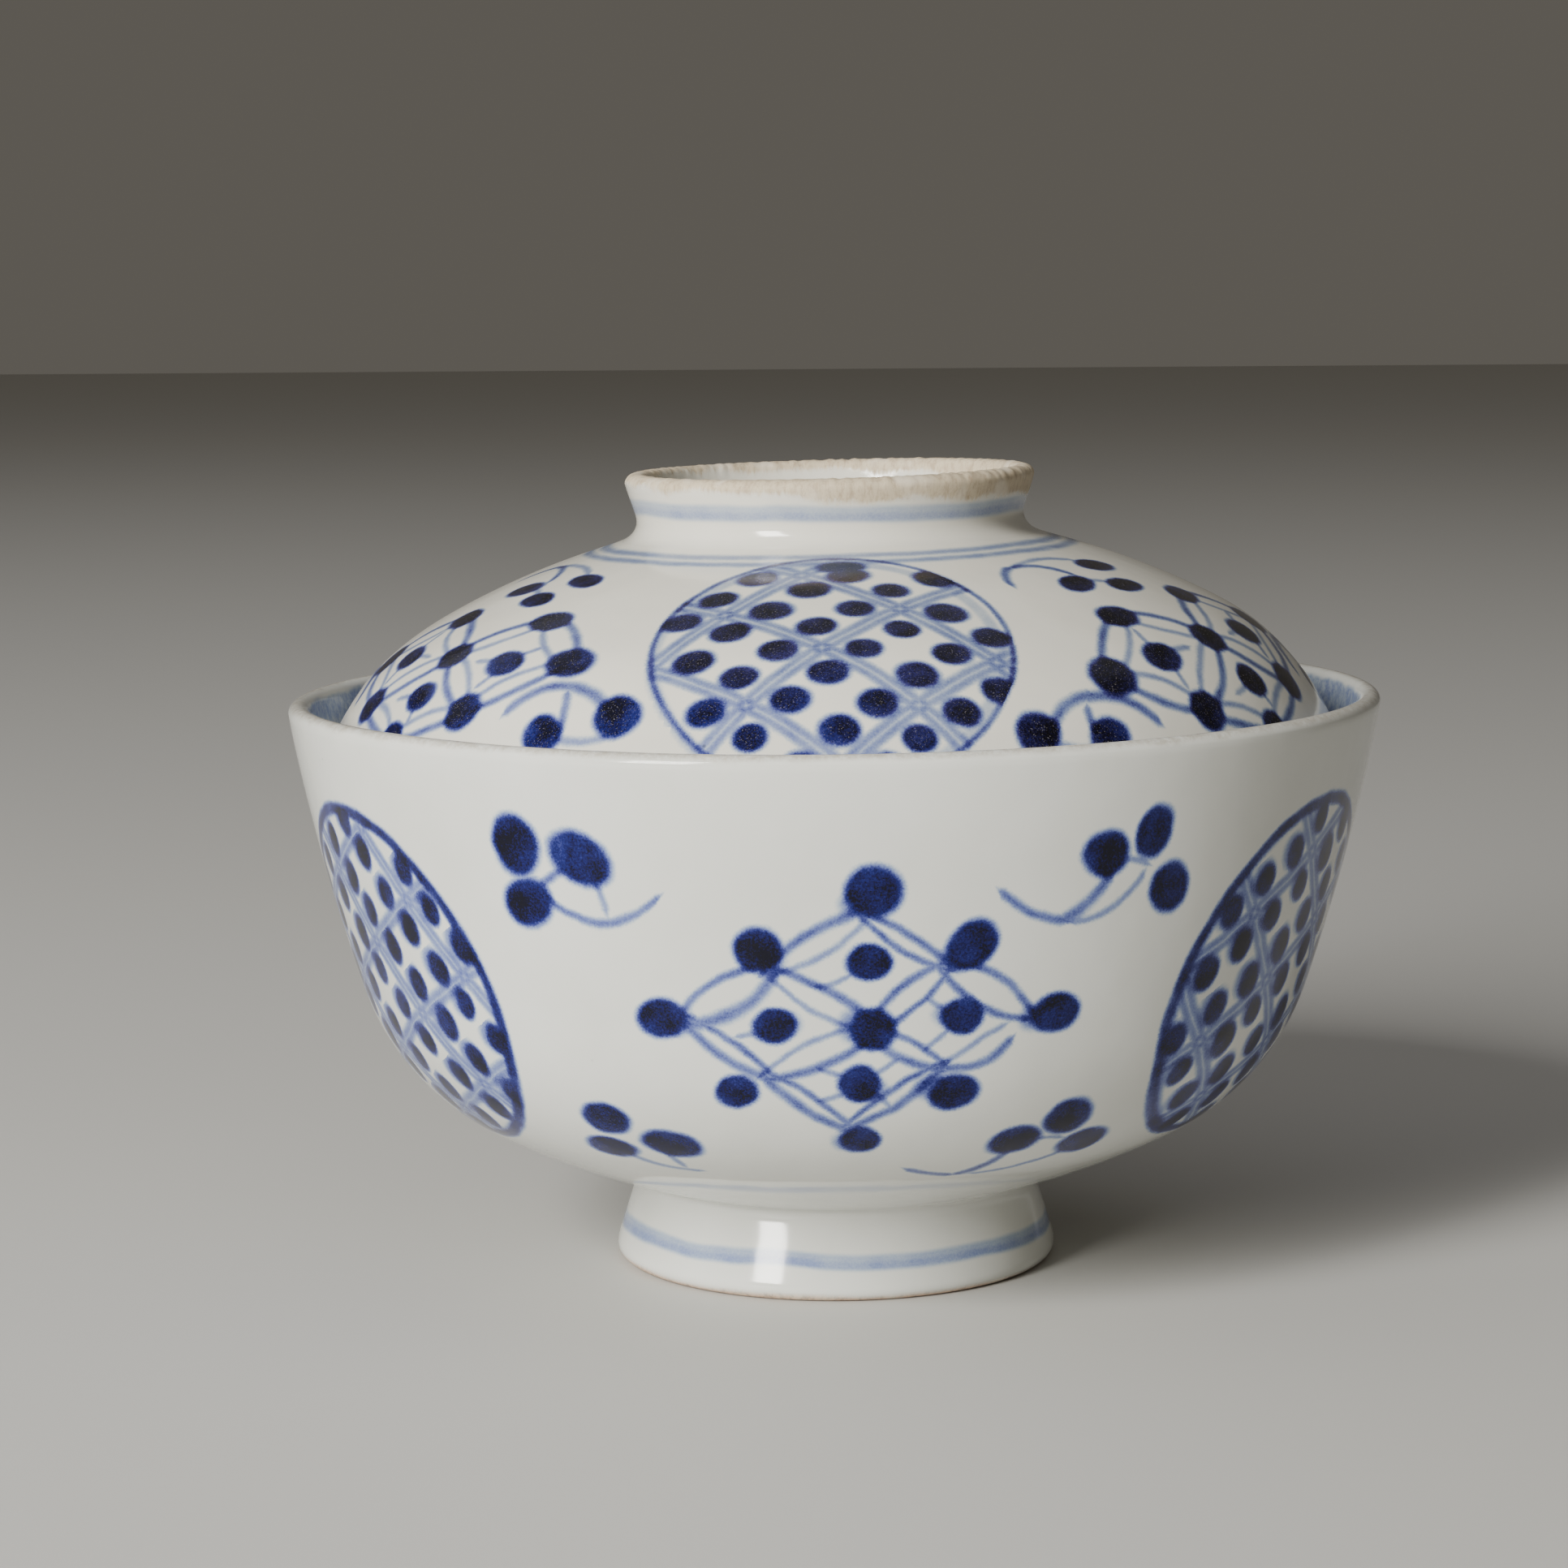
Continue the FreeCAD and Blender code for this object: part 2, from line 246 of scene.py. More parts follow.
# %% [markdown]
# ## Turning
# `turn` sweeps an outline round the axis. Nothing thrown by hand is perfectly round, so a few
# slow waves, drawn from a seeded generator, push the wall in and out by a fraction of a
# millimetre, and a slight lean lifts one side. A modifier could spin the profile, but building
# the rings in code lets every face carry its own painting coordinates, in millimetres.

# %% Turn an outline into a mesh
COLUMNS = 360


def waves(seed, count, size):
    """Slow waves round the pot: a few harmonics with fixed random phases."""
    chance = random.Random(seed)
    parts = [(order, chance.uniform(0, 2 * math.pi), size / order) for order in range(2, 2 + count)]

    def height(angle):
        return sum(depth * np.sin(order * angle + phase) for order, phase, depth in parts)
    return height


def turn(name, points, shape):
    """Sweep the outline; shape(radius, height, angle) returns the hand-made x, y, z."""
    angles = np.arange(COLUMNS) * 2 * math.pi / COLUMNS
    vertices = []
    rings = []
    for radius, height in points:
        if radius == 0.0:
            rings.append([len(vertices)] * COLUMNS)
            vertices.append((0.0, 0.0, height * MM))
            continue
        x, y, z = shape(radius, height, angles)
        rings.append(list(range(len(vertices), len(vertices) + COLUMNS)))
        vertices.extend(zip(x * MM, y * MM, z * MM))
    faces = []
    for row in range(len(rings) - 1):
        lower, upper = rings[row], rings[row + 1]
        for column in range(COLUMNS):
            following = (column + 1) % COLUMNS
            ring = [lower[column], lower[following], upper[following], upper[column]]
            faces.append(tuple(dict.fromkeys(ring)))
    mesh = bpy.data.meshes.new(name)
    mesh.from_pydata(vertices, [], faces)
    mesh.shade_smooth()
    piece = bpy.data.objects.new(name, mesh)
    bpy.context.scene.collection.objects.link(piece)
    return piece


def bowl_shape(radius, height, angle):
    """The bowl's wall leans a hair and its rim is not quite round."""
    share = min(1.0, max(0.0, (height - 8.0) / (BOWL_HEIGHT - 8.0)))
    wavy = radius + share * bowl_waves(angle)
    x = wavy * np.sin(angle)
    y = -wavy * np.cos(angle)
    z = height + share * (LEAN * x + rim_waves(angle))
    return x, y, z


LEAN = 0.007
bowl_waves = waves(3, 4, 0.16)
rim_waves = waves(5, 3, 0.12)
bowl = turn("rice_bowl", bowl_points, bowl_shape)
print("bowl:", len(bowl.data.polygons), "faces")

# %% [markdown]
# ## The lid's outline
# The lid is a shallow dome. Its edge is rounded and sits on the bowl's inner wall, a few
# millimetres under the rim. The ring on its top is trimmed like a foot ring, because the lid
# stands on it when it is turned over as a dish. The outline runs from the hollow, round the
# edge, up the dome, round the ring and into the well.

# %% The lid's outline and mesh
RING_BASE = 23.0


def lid_outline():
    """From the hollow's top, round the edge, over the dome and the ring, into the well."""
    line = Outline(0.0, 77.8)
    line.arc(41.5, 69.4, 106.7, "hollow", 1.6)
    line.arc(51.1, 61.8, 25.0, "hollow", 1.3)
    line.line(54.0, 57.2, "hollow", 1.0)
    line.arc(56.1, 57.2, -1.1, "edge", 0.3, 0.1)
    line.line(54.0, 61.7, "dome", 0.8)
    line.arc(43.4, 72.2, -28.0, "dome", 0.8)
    line.arc(24.4, 79.9, -90.0, "dome", 0.9)
    line.line(RING_BASE, 80.4, "dome", 0.4)
    line.arc(21.2, 82.6, 2.6, "ring", 0.35)
    line.line(22.55, TOP - 1.3, "ring", 0.4)
    line.arc(21.5, TOP, -1.2, "ring", 0.22, 0.3)
    line.line(21.0, TOP, "ring", 0.22, 0.3)
    line.arc(20.2, TOP - 0.8, -0.8, "ring", 0.22, 0.3)
    line.line(19.1, 82.0, "well", 0.6)
    line.arc(18.2, 81.5, 0.8, "well", 0.4, 0.5)
    line.line(0.0, 81.4, "well", 1.8)
    return line.finished()


def grit(seed, size, finest):
    """Fine uneven teeth round an edge: many harmonics of random phase."""
    chance = random.Random(seed)
    parts = [(chance.randint(40, finest), chance.uniform(0, 2 * math.pi)) for _ in range(14)]

    def height(angle):
        return size * sum(np.sin(order * angle + phase) for order, phase in parts) / 4
    return height


def smooth_step(low, high, value):
    """Rise from 0 to 1 between low and high."""
    share = min(1.0, max(0.0, (value - low) / (high - low)))
    return share * share * (3 - 2 * share)


LID_LEAN = 0.013


def lid_shape(radius, height, angle):
    """The dome leans a little more than the bowl, and the ring's top is rough and uneven."""
    free = smooth_step(56.0, 44.0, radius) if radius < 56.0 else 0.0
    wavy = radius + free * lid_waves(angle)
    x = wavy * np.sin(angle)
    y = -wavy * np.cos(angle)
    z = height + (LEAN + LID_LEAN * free) * x + 0.3 * free * lid_waves(angle + 1.0)
    x = x - LID_LEAN * free * max(0.0, height - 65.0)
    on_ring = smooth_step(TOP - 1.8, TOP, height)
    if on_ring > 0:
        bite = 1 + on_ring * ring_teeth(angle) / radius
        x, y = x * bite, y * bite
        z = z + on_ring * (ring_lip(angle) - 0.12)
    return x, y, z


lid_points, lid_zones, lid_along = lid_outline()
lid_waves = waves(11, 4, 0.14)
ring_teeth = grit(7, 0.07, 170)
ring_lip = grit(9, 0.05, 120)
lid = turn("rice_bowl_lid", lid_points, lid_shape)
print(len(lid_points), "rows,", len(lid.data.polygons), "faces in the lid")

# %% [markdown]
# ## A ruler for the painter
# The motifs repeat three times round the pot: a round medallion, then a lozenge with sprays
# beside it. Each face is given to the motif that it lies in, and each of its corners stores its
# place there in millimetres: x to the right and y up. A UV map would do, but it is meant for
# the 0 to 1 square; an attribute can hold plain millimetres. Its third number stays 1, so
# that one dot product can turn, scale and shift a place in a single node.

# %% Store painting coordinates
def from_nearest(angle, places):
    """Angle from the nearest of the places round the pot, which are in degrees."""
    turns = [(angle - math.radians(place) + math.pi) % (2 * math.pi) - math.pi for place in places]
    return min(turns, key=abs)


def lay_paint_grid(piece, points, zones, slots, medallion, to_paper):
    """Give each face a material slot and each corner its painting coordinates."""
    mesh = piece.data
    count = len(mesh.loops)
    corners = np.empty(count, dtype=np.int64)
    mesh.loops.foreach_get("vertex_index", corners)
    ring_of, column_of = [], []
    for row, (radius, _) in enumerate(points):
        width = 1 if radius == 0.0 else COLUMNS
        ring_of += [row] * width
        column_of += list(range(width))
    ring_of, column_of = np.array(ring_of), np.array(column_of)
    paper = np.ones((count, 3), dtype=np.float32)
    material = []
    start = 0
    for row, zone in enumerate(zones):
        for column in range(COLUMNS):
            sides = 3 if 0.0 in (points[row][0], points[row + 1][0]) else 4
            span = slice(start, start + sides)
            start += sides
            loops = corners[span]
            middle = (column + 0.5) * 2 * math.pi / COLUMNS
            rings = ring_of[loops]
            angles = column_of[loops] * 2 * math.pi / COLUMNS
            if column == COLUMNS - 1:
                angles = np.where(angles == 0.0, 2 * math.pi, angles)
            slot = slots[zone]
            local = from_nearest(middle, medallion["lozenges"])
            if slot == 0:
                turned = from_nearest(middle, medallion["places"])
                x, y = to_paper(row, turned)
                if math.hypot(x, y - medallion["y"]) < medallion["reach"]:
                    slot, local = (4 if medallion["own"](middle) else 1), turned
            shifted = angles - middle + local
            for place, (ring, angle) in enumerate(zip(rings, shifted)):
                paper[span.start + place, :2] = to_paper(ring, angle)
            material.append(slot)
    layer = mesh.attributes.new("paper", "FLOAT_VECTOR", "CORNER")
    layer.data.foreach_set("vector", paper.ravel())
    mesh.polygons.foreach_set("material_index", material)
    mesh.update()


rim_row = int(np.argmax(bowl_points[:, 1]))


def bowl_paper(row, angle):
    """The bowl's wall unrolled: y is how far below the rim, or inside how far past it."""
    far = bowl_along[row] - bowl_along[rim_row]
    return float(bowl_points[row][0] * angle) + 0.1, float(far) + 0.45


ring_row = int(np.argmin(np.hypot(lid_points[:, 0] - RING_BASE, lid_points[:, 1] - 80.4)))


def lid_paper(row, angle):
    """The dome laid flat round its middle, so that a circle on it stays a circle."""
    reach = RING_BASE + float(lid_along[ring_row] - lid_along[row])
    return reach * math.sin(angle), -reach * math.cos(angle)


# "own" says which medallion has a net, and so a material, of its own: the bowl's right one.
BOWL_MEDALLION = {
    "places": (-61.4, 61.4, 180.0), "lozenges": (0.0, 120.0, 240.0),
    "y": -29.6, "radius": 20.2, "reach": 21.6, "own": lambda angle: angle < math.pi / 2,
}
LID_MEDALLION = {
    "places": (0.0, 120.0, 240.0), "lozenges": (-58.6, 58.5, 180.0),
    "y": -44.5, "radius": 19.2, "reach": 20.3, "own": lambda angle: False,
}
bowl_slots = {"underside": 0, "wall": 0, "lip": 2, "inside": 2, "foot": 3, "recess": 3}
lid_slots = {"dome": 0, "edge": 2, "hollow": 2, "ring": 3, "well": 3}
lay_paint_grid(bowl, bowl_points, bowl_zones, bowl_slots, BOWL_MEDALLION, bowl_paper)
lay_paint_grid(lid, lid_points, lid_zones, lid_slots, LID_MEDALLION, lid_paper)
print("painting coordinates laid on", len(bowl.data.loops) + len(lid.data.loops), "corners")

# %% [markdown]
# ## Brush marks as nodes
# Cobalt is brushed on the clay before the glaze, and in the fire it bleeds: a mark has a
# soft edge, is dark where the brush rested and pale where it ran dry. An image could hold the
# drawing, but nodes keep it sharp at any size. Every mark is a distance field. A dab is the
# length of a stretched offset, and a stroke is the distance from a bent line. Marks are joined
# by taking the smallest distance, and only at the end does the distance become pigment.

# %% Helpers for node trees
def feed(tree, socket, value):
    """Link a socket to another one, or set its plain value."""
    if isinstance(value, bpy.types.NodeSocket):
        tree.links.new(value, socket)
    else:
        socket.default_value = value


def maths(tree, operation, *inputs, clamp=False):
    """A Math node; returns its result."""
    made = node(tree, "Math", operation=operation, use_clamp=clamp)
    for socket, value in zip(made.inputs, inputs):
        feed(tree, socket, value)
    return made.outputs[0]


def vectors(tree, operation, *inputs, scale=None):
    """A Vector Math node; returns its number for a dot product, length or distance."""
    made = node(tree, "VectorMath", operation=operation)
    for socket, value in zip(made.inputs, inputs):
        feed(tree, socket, value)
    if scale is not None:
        feed(tree, made.inputs["Scale"], scale)
    return made.outputs["Value" if operation in ("DOT_PRODUCT", "LENGTH", "DISTANCE") else "Vector"]


def fade(tree, value, full, none):
    """1 where the value is at `full`, 0 where it is at `none`, soft in between."""
    made = node(tree, "MapRange", interpolation_type="SMOOTHSTEP")
    low, high = (full, none) if full < none else (none, full)
    feed(tree, made.inputs["Value"], value)
    made.inputs["From Min"].default_value = low
    made.inputs["From Max"].default_value = high
    made.inputs["To Min"].default_value = 1.0 if full < none else 0.0
    made.inputs["To Max"].default_value = 0.0 if full < none else 1.0
    return made.outputs["Result"]


def noise(tree, place, scale, detail=1.0, roughness=0.5):
    """A noise texture at `scale` cells a millimetre; returns its two outputs."""
    made = node(tree, "TexNoise")
    tree.links.new(place, made.inputs["Vector"])
    made.inputs["Scale"].default_value = scale
    made.inputs["Detail"].default_value = detail
    made.inputs["Roughness"].default_value = roughness
    return made.outputs[0], made.outputs[1]


def mix_colour(tree, share, first, second, blend="MIX"):
    """Mix two colours; share 0 is the first."""
    made = node(tree, "Mix", data_type="RGBA", blend_type=blend)
    feed(tree, made.inputs[0], share)
    feed(tree, made.inputs[6], first)
    feed(tree, made.inputs[7], second)
    return made.outputs[2]


class Brush:
    """Collects marks on one sheet of paper, in millimetres."""

    def __init__(self, tree, paper):
        self.tree = tree
        self.paper = paper
        self.marks = {}

    def keep(self, kind, distance):
        """Join a mark to the others of its kind: the nearest one counts."""
        if kind in self.marks:
            distance = maths(self.tree, "MINIMUM", self.marks[kind], distance)
        self.marks[kind] = distance

    def dab(self, x, y, wide, tall, turn=0.0, kind="dab"):
        """A rounded press of the brush, wide and tall as half sizes, turned in degrees."""
        c, s = math.cos(math.radians(turn)), math.sin(math.radians(turn))
        across = vectors(self.tree, "DOT_PRODUCT", self.paper, (c / wide, s / wide, -(x * c + y * s) / wide))
        up = vectors(self.tree, "DOT_PRODUCT", self.paper, (-s / tall, c / tall, (x * s - y * c) / tall))
        offset = node(self.tree, "CombineXYZ")
        feed(self.tree, offset.inputs[0], across)
        feed(self.tree, offset.inputs[1], up)
        self.keep(kind, vectors(self.tree, "LENGTH", offset.outputs[0]))

    def stroke(self, start, end, bulge=0.0, width=0.34, kind="line"):
        """A bent line from start to end; the bulge is to the left of the way."""
        start, end = Vector(start), Vector(end)
        way = end - start
        half = way.length / 2 + 0.4
        way.normalize()
        side = Vector((-way.y, way.x))
        middle = (start + end) / 2
        along = (way.x / half, way.y / half, -middle.dot(way) / half)
        across = (side.x / width, side.y / width, -(middle.dot(side) + bulge) / width)
        far = vectors(self.tree, "DOT_PRODUCT", self.paper, along)
        aside = vectors(self.tree, "DOT_PRODUCT", self.paper, across)
        square = maths(self.tree, "MULTIPLY", far, far)
        if bulge:
            aside = maths(self.tree, "MULTIPLY_ADD", square, bulge / width, aside)
        aside = maths(self.tree, "ABSOLUTE", aside)
        thin_from = max(0.3, 1 - 1.6 / half)
        steep = 1.5 / (1 - thin_from)
        past = maths(self.tree, "MULTIPLY_ADD", square, steep, -steep * thin_from)
        past = maths(self.tree, "MAXIMUM", past, 0.0)
        self.keep(kind, maths(self.tree, "ADD", aside, past))

    def circle(self, x, y, radius, width, kind="line"):
        """A round outline."""
        far = vectors(self.tree, "LENGTH", vectors(self.tree, "SUBTRACT", self.paper, (x, y, 1.0)))
        self.keep(kind, maths(self.tree, "ABSOLUTE", maths(
            self.tree, "MULTIPLY_ADD", far, 1 / width, -radius / width)))

    def pigment(self, strengths):
        """Turn the distances into one density: overlapping marks grow darker."""
        clear = 1.0
        for kind, full, none, strength in strengths:
            if kind not in self.marks:
                continue
            covered = fade(self.tree, self.marks[kind], full, none)
            left = maths(self.tree, "MULTIPLY_ADD", covered, -strength, 1.0)
            clear = maths(self.tree, "MULTIPLY", clear, left) if clear != 1.0 else left
        return maths(self.tree, "SUBTRACT", 1.0, clear)


STRENGTHS = [
    ("dab", 0.74, 1.21, 0.87), ("dab", 0.05, 1.0, 0.52),
    ("line", 0.1, 2.35, 0.50), ("faint", 0.1, 2.3, 0.32), ("smear", 0.4, 1.2, 0.40),
    ("press", 0.5, 1.3, 0.75),
]
for mark, full, none, strength in STRENGTHS:
    print(f"{mark}: full inside {full}, gone outside {none}, strength {strength}")

# %% [markdown]
# ## Cobalt under clear glaze
# Thin cobalt is a greyed sky blue, and thick cobalt is navy, almost black where iron speckles
# it. A colour ramp from density to colour, multiplied over the glaze, gives that. Fine noise
# breaks the pigment into grains. The glaze itself is a smooth dielectric: the Principled shader
# with low roughness is enough, since real glaze on porcelain is clear, thin and even. Its
# specular level is under the usual 0.5, so that the pale floor doesn't grey the dark dabs.

# %% The glaze materials
def millimetres(tree):
    """The surface's own place, in millimetres."""
    own = node(tree, "TexCoord").outputs["Object"]
    return vectors(tree, "SCALE", own, scale=1 / MM)


def wandering_paper(tree, place, amount):
    """The stored paper, pushed about a little, so that no line is ruled and no dab is round."""
    paper = node(tree, "Attribute", attribute_name="paper").outputs["Vector"]
    _, slow = noise(tree, place, 0.14)
    _, quick = noise(tree, place, 0.55)
    _, grain = noise(tree, place, 5.0)
    for wander, share in ((slow, amount * 2.0), (quick, amount * 0.7), (grain, 0.3)):
        shift = vectors(tree, "SUBTRACT", wander, (0.5, 0.5, 0.5))
        shift = vectors(tree, "MULTIPLY", shift, (share, share, 0.0))
        paper = vectors(tree, "ADD", paper, shift)
    return paper


COBALT = [
    (0.0, "#ffffff"), (0.14, "#cddaf0"), (0.3, "#97a7da"), (0.45, "#7381c6"),
    (0.6, "#454d9a"), (0.75, "#1f2678"), (0.88, "#111356"), (1.0, "#08081e"),
]
BURNT = [
    (0.0, "#ffffff"), (0.14, "#cdd9ec"), (0.3, "#96a7d2"), (0.45, "#6c7db8"),
    (0.6, "#403f88"), (0.75, "#242258"), (0.88, "#171632"), (1.0, "#0c0b12"),
]


def colour_ramp(tree, value, stops):
    """A colour ramp with the given (position, colour) stops."""
    ramp = node(tree, "ValToRGB")
    tree.links.new(value, ramp.inputs[0])
    made = ramp.color_ramp.elements
    made[0].position, made[0].color = stops[0][0], srgb(stops[0][1])
    made[1].position, made[1].color = stops[-1][0], srgb(stops[-1][1])
    for position, code in stops[1:-1]:
        made.new(position).color = srgb(code)
    return ramp.outputs[0]


def cobalt_colour(tree, density, place, burnt=None):
    """Grain the pigment and turn its density into a colour, burnt to black where asked, with painted glints
    as pale specks on the dense burnt pigment.
    """
    grain, _ = noise(tree, place, 4.0, 2.0, 0.7)
    cloud, _ = noise(tree, place, 0.35, 1.0)
    uneven = maths(tree, "MULTIPLY_ADD", grain, 0.7, 0.65)
    uneven = maths(tree, "MULTIPLY", uneven, maths(tree, "MULTIPLY_ADD", cloud, 0.6, 0.7))
    dense = maths(tree, "MULTIPLY", density, uneven, clamp=True)
    blue = colour_ramp(tree, dense, COBALT)
    if burnt is None:
        return blue
    colour = mix_colour(tree, burnt, blue, colour_ramp(tree, dense, BURNT))
    # Painted glints: pale grey specks where the burnt pigment is dense, standing in for light caught on its
    # surface.
    glint_noise, _ = noise(tree, place, 6.5, 1.0, 0.5)
    painted_glints = maths(tree, "MULTIPLY", fade(tree, glint_noise, 0.76, 0.62), maths(tree, "MULTIPLY", dense, 0.42))
    return mix_colour(tree, painted_glints, colour, srgb("#a9a6b4"))


def glaze_colour(tree, place, code):
    """Off-white body under clear glaze: faintly cloudy, with a few iron specks."""
    cloud, _ = noise(tree, place, 0.045, 3.0, 0.6)
    tint = node(tree, "ValToRGB")
    tree.links.new(cloud, tint.inputs[0])
    light, dark = srgb(code)[:3], 0.93
    stops = tint.color_ramp.elements
    stops[0].position, stops[0].color = 0.35, (light[0] * dark, light[1] * dark, light[2] * dark * 0.99, 1)
    stops[1].position, stops[1].color = 0.65, (*light, 1)
    cells = node(tree, "TexVoronoi", feature="F1")
    tree.links.new(place, cells.inputs["Vector"])
    cells.inputs["Scale"].default_value = 0.17
    rare = maths(tree, "GREATER_THAN", vectors(tree, "DOT_PRODUCT", cells.outputs["Color"], (1, 0, 0)), 0.72)
    speck = maths(tree, "MULTIPLY", fade(tree, cells.outputs["Distance"], 0.02, 0.045), rare)
    return mix_colour(tree, maths(tree, "MULTIPLY", speck, 0.55), tint.outputs[0], srgb("#6d675c"))


def finish_glaze(tree, colour, place, roughness=0.1):
    """Wire the colour into a glossy shader with a faint unevenness of the glaze."""
    shader = tree.nodes["Principled BSDF"]
    tree.links.new(colour, shader.inputs["Base Color"])
    shader.inputs["Roughness"].default_value = roughness
    shader.inputs["IOR"].default_value = 1.5
    shader.inputs["Specular IOR Level"].default_value = 0.33
    ripple, _ = noise(tree, place, 0.22, 2.0, 0.4)
    bump = node(tree, "Bump")
    bump.inputs["Strength"].default_value = 0.25
    bump.inputs["Distance"].default_value = 0.2 * MM
    tree.links.new(ripple, bump.inputs["Height"])
    tree.links.new(bump.outputs[0], shader.inputs["Normal"])
    return shader


def start_material(piece, name):
    """Make a node material and put it in the piece's next slot."""
    material = bpy.data.materials.new(name)
    material.use_nodes = True
    piece.data.materials.append(material)
    return material.node_tree


def painted_material(piece, name, code, amount, draw, burnt_way=None):
    """A glazed material with a drawing under the glaze; burnt_way says where it burnt."""
    tree = start_material(piece, name)
    place = millimetres(tree)
    brush = Brush(tree, wandering_paper(tree, place, amount))
    density = draw(brush)
    burnt = None
    if burnt_way:
        cloud, _ = noise(tree, place, 0.09)
        burnt = maths(tree, "ADD", vectors(tree, "DOT_PRODUCT", place, burnt_way), cloud)
        burnt = fade(tree, burnt, BURNT_FROM + 0.8, BURNT_FROM)
    pigment = cobalt_colour(tree, density, place, burnt)
    colour = mix_colour(tree, 1.0, glaze_colour(tree, place, code), pigment, "MULTIPLY")
    finish_glaze(tree, colour, place, 0.14 if burnt_way else 0.08)
    print(name, "has", len(tree.nodes), "nodes")
    return tree


BOWL_WHITE = "#d9dad4"
LID_WHITE = "#dcd9ce"
HOTTER = (0.006, 0.0, 0.045)  # the lid burnt darker towards its top and its right side
BURNT_FROM = 3.1

# %% [markdown]
# ## The lozenge
# Between the medallions the painter drew a lozenge net: nine knots, each pair of neighbours
# joined by two arcs that make a leaf, a dab beyond each outer knot, one on the middle knot and
# one in each mesh. It is drawn here from its knots. Brushwork is never quite regular, so the
# lists below give each knot, dab and tick its own place in millimetres, close to where it is on
# the real bowl, and `leaf` draws both arcs of one leaf.

# %% Draw the lozenge
def leaf(brush, start, end, belly, widths=(0.34, 0.3), kinds=("line", "line")):
    """Two arcs from one knot to a little past the next, one bent each way."""
    start, end = Vector(start), Vector(end)
    past = (end - start).normalized() * 0.9
    brush.stroke(start - past, end + past, belly, widths[0], kinds[0])
    brush.stroke(start - past, end + past, -belly, widths[1], kinds[1])


def bowl_lozenge(brush):
    """The lozenge on the bowl, with its dabs and the short ticks between them."""
    top, left, middle = (3.0, -16.8), (-14.8, -28.3), (3.6, -29.2)
    right, bottom = (19.6, -28.2), (1.2, -41.0)
    high_left, high_right = (-6.2, -22.8), (11.0, -22.4)
    low_left, low_right = (-6.6, -34.4), (10.6, -33.7)
    leaf(brush, high_left, top, 1.3, (0.42, 0.28), ("line", "faint"))
    leaf(brush, top, high_right, 0.9)
    leaf(brush, left, high_left, 1.9, (0.36, 0.5))
    leaf(brush, high_right, right, 1.8, (0.36, 0.34))
    leaf(brush, high_left, middle, 1.4, (0.4, 0.26), ("line", "faint"))
    leaf(brush, middle, high_right, 1.3, (0.34, 0.28))
    leaf(brush, left, low_left, -1.0, (0.42, 0.3))
    leaf(brush, low_left, middle, -1.5, (0.42, 0.26), ("line", "faint"))
    leaf(brush, middle, low_right, -1.1, (0.42, 0.3))
    leaf(brush, low_left, bottom, -0.9, (0.42, 0.32))
    leaf(brush, bottom, low_right, 0.9, (0.3, 0.4))
    brush.stroke(low_right, (17.6, -29.2), 0.3, 0.28, "faint")
    brush.stroke(low_right, (18.2, -30.6), -1.3, 0.38)
    for x, y, wide, tall, turn in (
        (4.0, -14.2, 2.7, 2.6, 0), (-7.4, -20.5, 2.4, 2.3, -10), (13.7, -20.3, 2.8, 2.2, 40),
        (-17.4, -28.3, 2.4, 2.1, 0), (3.8, -29.3, 2.3, 2.2, 0), (22.8, -28.4, 2.5, 2.0, 20),
        (3.4, -21.8, 2.2, 1.9, 0), (-6.0, -28.9, 2.1, 1.8, 0), (12.8, -28.0, 2.1, 1.9, 0),
        (2.5, -35.5, 2.0, 2.1, 0), (-9.7, -36.5, 2.1, 2.0, 0), (12.1, -36.9, 2.5, 2.1, 10),
        (2.6, -43.2, 2.1, 2.0, 0),
    ):
        brush.dab(x, y, 1.08 * wide, 1.08 * tall, turn)
    for x, y, wide, tall in (
        (2.3, -15.6, 2.0, 1.6), (-6.4, -21.4, 2.2, 2.2), (12.0, -21.6, 1.8, 1.9), (-15.9, -28.5, 2.2, 1.9),
        (1.9, -28.8, 2.0, 2.1), (20.5, -28.8, 1.9, 1.7), (9.8, -36.2, 2.0, 1.7), (1.0, -43.4, 1.6, 1.6),
        (-4.8, -28.6, 1.8, 1.6), (11.4, -27.8, 1.8, 1.6), (3.8, -36.2, 1.7, 1.7),
    ):
        brush.dab(x, y, wide, tall, 0, "smear")
    for start, end, bulge in (
        ((1.6, -23.0), (-2.0, -24.3), 0.4), ((10.9, -27.0), (9.4, -26.2), 0.1),
        ((11.2, -29.6), (9.2, -31.6), 0.0), ((0.6, -34.4), (-1.6, -33.6), 0.1),
        ((4.3, -34.2), (6.4, -32.8), 0.0), ((0.6, -36.8), (-1.4, -37.4), 0.0),
        ((4.4, -37.0), (5.2, -38.0), 0.0), ((-8.0, -29.6), (-9.6, -29.9), 0.0),
    ):
        brush.stroke(start, end, bulge, 0.26, "faint")


